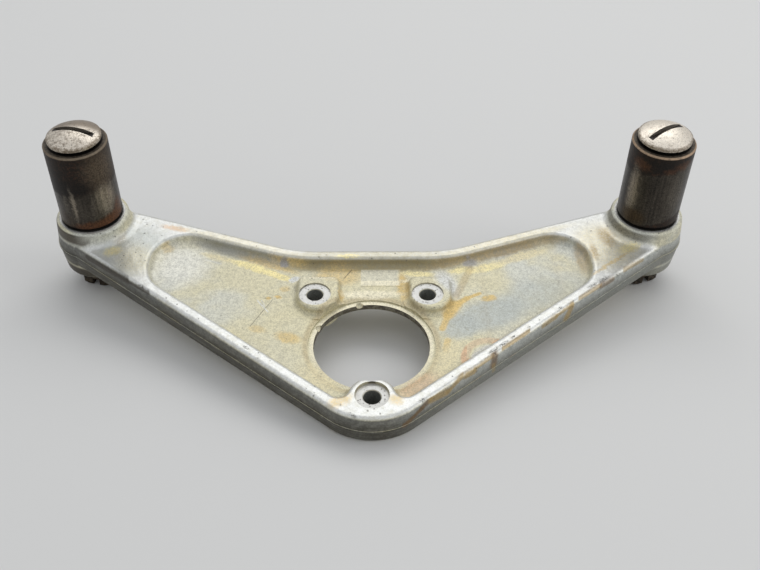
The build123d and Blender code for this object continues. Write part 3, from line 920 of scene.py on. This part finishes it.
def roller_material(side, settings):
    """Brown-skinned steel roller, rubbed grey where it ran, with rust along its ends and painted
    sheens and shade on its round side.
    """
    material, w, shader = new_finish(side + "_roller_steel")
    place = place_in_mm(w)
    mottle = w.noise(place, 0.8, 4.0, 0.7)
    fine = w.noise(place, 1.5, 3.0, 0.75)
    ragged = w.use("wandering_place", place=place, scale=0.5, push=3.0)
    off_axis = w.vector("SUBTRACT", place, tip_axis(side))
    top_edge, rise = RUBBED_ZONES[side]
    slope = w.times(w.split(off_axis)[0], rise)
    height = w.maths("SUBTRACT", w.split(ragged)[2], w.maths("ADD", slope, ROLLER_LOW))
    rubbed = w.times(w.smooth(height, 1.6, 3.4), w.smooth(height, top_edge + 0.9, top_edge - 0.9))
    worn = w.times(rubbed, w.smooth(mottle, 0.34, 0.56, 0.55, 1.0))

    skin = w.coats(w.smooth(mottle, 0.46, 0.66, 0.0, 0.6), settings.patina, settings.rust)
    skin = w.paint(skin, "soot", w.smooth(fine, 0.5, 0.66, 0.0, 0.7))
    colour = w.coats(worn, skin, settings.steel)
    colour = roller_marks(w, colour, ragged, side)
    upright_lines = w.noise(w.vector("MULTIPLY", place, UPRIGHT_LINES), 1.0, 3.0, 0.65)
    lines_share = w.mixed(worn, 0.15, 0.45)
    grain = w.smooth(w.mixed(lines_share, fine, upright_lines), 0.36, 0.64, 0.48, 1.4)
    colour = w.grained(colour, grain)
    colour = roller_end(w, colour, place, off_axis, mottle, side)

    w.feed(shader.inputs["Base Color"], colour)
    w.feed(shader.inputs["Metallic"], w.mixed(worn, 0.35, 0.7))
    shader.inputs["Specular IOR Level"].default_value = 0.25
    w.feed(shader.inputs["Roughness"], w.mixed(worn, 0.5, settings.roughness))
    lumps = w.use("skin_grain", place=place, scale=1.4, coarse=0.4)
    relief = w.mixed(worn, lumps, w.times(upright_lines, 0.4))
    w.feed(shader.inputs["Normal"], w.bump(relief, 0.06 * MM))
    return material


class FinishRollers(bpy.types.Operator):
    """Paints the two rollers, each with its own wear"""

    bl_idname = "steering_arm.finish_rollers"
    bl_label = "Finish the rollers"

    def execute(self, context):
        for side in SIDES:
            give(side + "_roller", roller_material(side, context.scene.roller_finish))
        return {"FINISHED"}


def slot_mask(w, off_axis, side):
    """Mask of the walls and the bottom of the screwdriver slot."""
    turn = math.radians(SLOT_ANGLES[side])
    across = w.vector("DOT_PRODUCT", off_axis, (-math.sin(turn), math.cos(turn), 0.0))
    along = w.vector("DOT_PRODUCT", off_axis, (math.cos(turn), math.sin(turn), 0.0))
    inside_width = w.smooth(w.maths("ABSOLUTE", across), SLOT_HALF_WIDTH + 0.05,
                            SLOT_HALF_WIDTH - 0.05)
    inside_reach = w.smooth(w.maths("ABSOLUTE", along), SLOT_REACH + 0.2, SLOT_REACH - 0.3)
    return w.times(inside_width, inside_reach)


def bolt_material(side, settings):
    """Plated steel bolt: pitted bright dome, with painted shade in its slot and under its head."""
    material, w, shader = new_finish(side + "_bolt_steel")
    place = place_in_mm(w)
    off_axis = w.vector("SUBTRACT", place, tip_axis(side))
    _x, y, z = w.split(off_axis)
    radius = w.from_axis(off_axis)
    mottle = w.noise(place, 0.7, 4.0, 0.65)
    fine = w.noise(place, 2.2, 3.0, 0.7)
    # On the left head the back half is painted duller as shade, over the tarnish mottle
    if side == "left":
        dulled = w.maths("MAXIMUM", w.smooth(mottle, 0.42, 0.66, 0.2, 0.7),
                         w.smooth(y, -1.5, 4.0, 0.0, 0.85))
    else:
        dulled = w.smooth(mottle, 0.52, 0.7, 0.0, 0.35)
    colour = w.coats(dulled, settings.head, settings.tarnish)
    pits = w.use("speck_mask", place=place, scale=1.0, size=0.34, share=0.5)
    colour = w.paint(colour, "dark", pits, 0.6 if side == "left" else 0.35)
    colour = w.grained(colour, w.smooth(fine, 0.36, 0.64, 0.84, 1.1))
    rim = w.times(w.smooth(radius, 9.7, 10.4), w.smooth(mottle, 0.35, 0.6, 0.3, 0.85))
    colour = w.paint(colour, "bolt rim", rim)
    # Painted shade in the screwdriver slot
    colour = w.paint(colour, "slot shade", slot_mask(w, off_axis, side))
    # Painted shade on the collar and shank under the head
    shank = w.smooth(z, ROLLER_HIGH + 1.5, ROLLER_HIGH + 1.3)
    colour = w.paint(colour, "shaded shank", shank)
    end = w.smooth(z, BOLT_END + 6.0, BOLT_END + 5.0)
    colour = w.coats(end, colour, w.paint(PAINTS["bolt end"], "bolt end, dark", mottle))

    w.feed(shader.inputs["Base Color"], colour)
    w.feed(shader.inputs["Metallic"], w.mixed(dulled, 0.7, 0.4))
    w.feed(shader.inputs["Roughness"], w.smooth(mottle, 0.3, 0.7, 0.32, 0.5))
    lumps = w.use("skin_grain", place=place, scale=1.6, coarse=0.4)
    relief = w.maths("SUBTRACT", w.times(lumps, 0.12), w.times(pits, 0.08))
    w.feed(shader.inputs["Normal"], w.bump(relief, MM))
    return material


def small_steel_material(name, light, dark, roughness, scale):
    """Tarnished steel for washers, nuts and pins."""
    material, w, shader = new_finish(name)
    place = place_in_mm(w)
    mottle = w.noise(place, scale, 4.0, 0.65)
    specks = w.use("speck_mask", place=place, scale=1.3, size=0.3, share=0.4)
    colour = w.coats(w.smooth(mottle, 0.35, 0.65), light, dark)
    colour = w.paint(colour, "rust speck", specks, 0.5)
    w.feed(shader.inputs["Base Color"], colour)
    shader.inputs["Metallic"].default_value = 0.65
    w.feed(shader.inputs["Roughness"], w.smooth(mottle, 0.3, 0.7, roughness, roughness + 0.18))
    lumps = w.use("skin_grain", place=place, scale=2.0, coarse=0.4)
    w.feed(shader.inputs["Normal"], w.bump(lumps, 0.04 * MM))
    return material


def thread_tree():
    """Geometry nodes that wind a thread round each of the points they are given."""
    tree = bpy.data.node_groups.new("bolt_thread", "GeometryNodeTree")
    kinds = {"Geometry": "Geometry", "Radius": "Float", "Pitch": "Float", "Turns": "Float",
             "Depth": "Float", "Steps": "Int", "Finish": "Material"}
    for title, kind in kinds.items():
        tree.interface.new_socket(title, in_out="INPUT", socket_type="NodeSocket" + kind)
    tree.interface.new_socket("Geometry", in_out="OUTPUT", socket_type="NodeSocketGeometry")
    w = Wiring(tree)
    given = w.add("NodeGroupInput").outputs
    half_depth = w.maths("MULTIPLY", given["Depth"], 0.5)
    middle = w.maths("SUBTRACT", given["Radius"], half_depth)
    helix = w.add("GeometryNodeCurveSpiral", {
        "Resolution": given["Steps"], "Rotations": given["Turns"], "Start Radius": middle,
        "End Radius": middle, "Height": w.maths("MULTIPLY", given["Pitch"], given["Turns"])})
    ridge = w.add("GeometryNodeCurvePrimitiveCircle", {"Resolution": 4, "Radius": half_depth})
    swept = w.add("GeometryNodeCurveToMesh", {
        "Curve": helix.outputs["Curve"], "Profile Curve": ridge.outputs["Curve"],
        "Fill Caps": True})
    placed = w.add("GeometryNodeInstanceOnPoints", {
        "Points": given["Geometry"], "Instance": swept.outputs["Mesh"]})
    real = w.add("GeometryNodeRealizeInstances", {0: placed.outputs[0]})
    coated = w.add("GeometryNodeSetMaterial", {
        "Geometry": real.outputs[0], "Material": given["Finish"]})
    w.add("NodeGroupOutput", {0: coated.outputs[0]})
    return tree


def put_in_scene(name, data):
    """A new object with its data, linked to the scene."""
    piece = bpy.data.objects.new(name, data)
    bpy.context.scene.collection.objects.link(piece)
    return piece


def plain_mesh_of(carrier, name):
    """The evaluated mesh of an object as a new object at the origin. The carrier is removed."""
    graph = bpy.context.evaluated_depsgraph_get()
    mesh = bpy.data.meshes.new_from_object(carrier.evaluated_get(graph), depsgraph=graph)
    mesh.name = name
    bpy.data.objects.remove(carrier)
    return put_in_scene(name, mesh)


def wind_threads(settings, material):
    """Threads of both bolts, from the chamfer at their ends up into the nuts, as one piece."""
    lead_in = 0.5 * MM
    bottom = BOLT_END * MM + lead_in
    points = [(x * MM, y * MM, bottom) for x, y, _z in map(tip_axis, SIDES)]
    mesh = bpy.data.meshes.new("thread_starts")
    mesh.from_pydata(points, [], [])
    carrier = put_in_scene("thread_starts", mesh)
    tree = thread_tree()
    winder = carrier.modifiers.new("thread", "NODES")
    winder.node_group = tree
    height = NUT_TOP * MM - lead_in - bottom
    wanted = {"Radius": settings.thread_radius, "Pitch": settings.thread_pitch,
              "Turns": height / settings.thread_pitch, "Depth": settings.thread_depth,
              "Steps": settings.thread_steps, "Finish": material}
    for socket in tree.interface.items_tree:
        if socket.in_out == "INPUT" and socket.name in wanted:
            winder[socket.identifier] = wanted[socket.name]
    return plain_mesh_of(carrier, "bolt_threads")


class FinishFasteners(bpy.types.Operator):
    """Paints the bolts, washers, nuts and pins, and winds the threads of the bolts"""

    bl_idname = "steering_arm.finish_fasteners"
    bl_label = "Finish the fasteners"

    def execute(self, context):
        settings = context.scene.fastener_finish
        steels = {name: small_steel_material(name, *values)
                  for name, values in SMALL_STEELS.items()}
        for side in SIDES:
            give(side + "_roller_bolt", bolt_material(side, settings))
            give(side + "_thrust_washer", steels["washer_steel"])
            give(side + "_nut_washer", steels["washer_steel"])
            give(side + "_castle_nut", steels["nut_steel"])
            give(side + "_cotter_pin", steels["pin_steel"])
        threads = wind_threads(settings, steels["thread_steel"])
        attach(threads, "arm")
        return {"FINISHED"}


def rest_plane():
    """Where the part rests: the tilt of the floor and a point on it.

    It stands on the ends of both bolts and on the lower crest of the nose.
    """
    bolt_end_radius = 5.2 * MM
    edge_to_crest = 2.4 * MM
    bolt_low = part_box("left_roller_bolt")[0]
    bolt_front = Vector((0, tip_axis("left")[1] * MM - bolt_end_radius, bolt_low.z))
    nose = Vector((0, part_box("steering_arm")[0].y + edge_to_crest, -RIM_TOP * MM))
    tilt = math.atan2(nose.z - bolt_front.z, bolt_front.y - nose.y)
    return -tilt, nose


def floor_material(colour):
    """Plain matt floor. It is clear from below, so that the underside of the part can be seen."""
    material, w, shader = new_finish("floor_paint")
    shader.inputs["Base Color"].default_value = colour
    shader.inputs["Roughness"].default_value = 0.8
    shader.inputs["Specular IOR Level"].default_value = 0.2
    clear = w.add("ShaderNodeBsdfTransparent")
    mixer = w.add("ShaderNodeMixShader")
    w.feed(mixer.inputs["Fac"], w.add("ShaderNodeNewGeometry").outputs["Backfacing"])
    w.feed(mixer.inputs[1], shader.outputs["BSDF"])
    w.feed(mixer.inputs[2], clear.outputs["BSDF"])
    w.feed(material.node_tree.nodes["Material Output"].inputs["Surface"], mixer.outputs[0])
    return material


def lay_floor(settings):
    """One large pale plane, tilted to where the part comes to rest."""
    tilt, point = rest_plane()
    half = settings.floor_size / 2
    turn = Matrix.Rotation(tilt, 4, "X")
    corners = [turn @ Vector((x * half, y * half, 0)) + point
               for x, y in ((-1, -1), (1, -1), (1, 1), (-1, 1))]
    mesh = bpy.data.meshes.new("floor")
    mesh.from_pydata(corners, [], [(0, 1, 2, 3)])
    mesh.materials.append(floor_material(settings.floor))
    floor = put_in_scene("floor", mesh)
    floor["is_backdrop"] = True


def hang_lamp(name, place, target, size, power):
    """A rectangular softbox that looks at the target."""
    data = bpy.data.lights.new(name, "AREA")
    data.shape = "RECTANGLE"
    data.size, data.size_y = size
    data.energy = power
    lamp = put_in_scene(name, data)
    lamp.location = place
    lamp.rotation_euler = (Vector(target) - Vector(place)).to_track_quat("-Z", "Y").to_euler()


def paint_sky(settings):
    """A soft grey sky, lighter overhead than at its edge."""
    world = bpy.data.worlds.new("studio")
    world.use_nodes = True
    bpy.context.scene.world = world
    w = Wiring(world.node_tree)
    direction = w.add("ShaderNodeTexCoord").outputs["Generated"]
    up = w.smooth(w.split(direction)[2], 0.0, 0.9)
    colour = w.coats(up, settings.horizon, settings.zenith)
    w.feed(world.node_tree.nodes["Background"].inputs["Color"], colour)


def set_camera(settings):
    """Camera at the photograph's place, with its yaw, pitch and roll."""
    yaw, pitch, roll = settings.camera_yaw, settings.camera_pitch, settings.camera_roll
    forward = Vector((math.sin(yaw) * math.cos(pitch), math.cos(yaw) * math.cos(pitch),
                      -math.sin(pitch)))
    right = forward.cross(Vector((0, 0, 1))).normalized()
    up = right.cross(forward)
    across = math.cos(roll) * right + math.sin(roll) * up
    upward = -math.sin(roll) * right + math.cos(roll) * up
    data = bpy.data.cameras.new("camera")
    data.lens = settings.camera_lens
    data.sensor_width = SENSOR_WIDTH
    data.sensor_fit = "HORIZONTAL"
    data.clip_start = 10 * MM
    camera = put_in_scene("camera", data)
    turn = Matrix((across, upward, -forward)).transposed()
    camera.matrix_world = Matrix.Translation(settings.camera_place) @ turn.to_4x4()
    bpy.context.scene.camera = camera


class SetStage(bpy.types.Operator):
    """Lays the floor, hangs the lamps and sets the camera"""

    bl_idname = "steering_arm.set_stage"
    bl_label = "Set the stage"

    def execute(self, context):
        settings = context.scene.stage_settings
        scene = context.scene
        scene.view_settings.view_transform = "Standard"
        lay_floor(settings)
        paint_sky(settings)
        middle = (0.0, 0.02, 0.01)
        hang_lamp("back_softbox", (0.12, 0.85, 0.95), middle, (1.3, 0.8), settings.back_lamp)
        hang_lamp("side_softbox", (1.0, -0.15, 0.55), middle, (0.6, 0.6), settings.side_lamp)
        set_camera(settings)
        return {"FINISHED"}


class SteeringArmPanel(bpy.types.Panel):
    """Lists the steps and the settings of the finish"""

    bl_idname = "VIEW3D_PT_steering_arm"
    bl_label = "Steering arm"
    bl_space_type = "VIEW_3D"
    bl_region_type = "UI"
    bl_category = "Steering arm"

    def draw(self, context):
        for step in (FinishForging, FinishRollers, FinishFasteners, SetStage):
            self.layout.operator(step.bl_idname)
        for group in (context.scene.forging_finish, context.scene.roller_finish,
                      context.scene.fastener_finish, context.scene.stage_settings):
            box = self.layout.box()
            for name in group.__annotations__:
                box.prop(group, name)


SETTINGS = {"forging_finish": ForgingFinish, "roller_finish": RollerFinish,
            "fastener_finish": FastenerFinish, "stage_settings": StageSettings}
CLASSES = (*SETTINGS.values(), FinishForging, FinishRollers, FinishFasteners, SetStage,
           SteeringArmPanel)


def register():
    """Makes the classes known and hangs the settings on the scene."""
    for kind in CLASSES:
        bpy.utils.register_class(kind)
    for name, kind in SETTINGS.items():
        setattr(bpy.types.Scene, name, PointerProperty(type=kind))


def unregister():
    """Takes the settings and the classes away again."""
    for name in SETTINGS:
        delattr(bpy.types.Scene, name)
    for kind in reversed(CLASSES):
        bpy.utils.unregister_class(kind)


def main():
    """Finishes every piece, sets the stage and works out the size of what was made."""
    register()
    for effect, output in EFFECTS.items():
        build_group(effect, output)
    bpy.ops.steering_arm.finish_forging()
    bpy.ops.steering_arm.finish_rollers()
    bpy.ops.steering_arm.finish_fasteners()
    bpy.ops.steering_arm.set_stage()
    sizes = {"cad": [list(corner) for corner in cad_box],
             "visual": [list(corner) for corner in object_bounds()]}


if __name__ == "__main__":
    main()
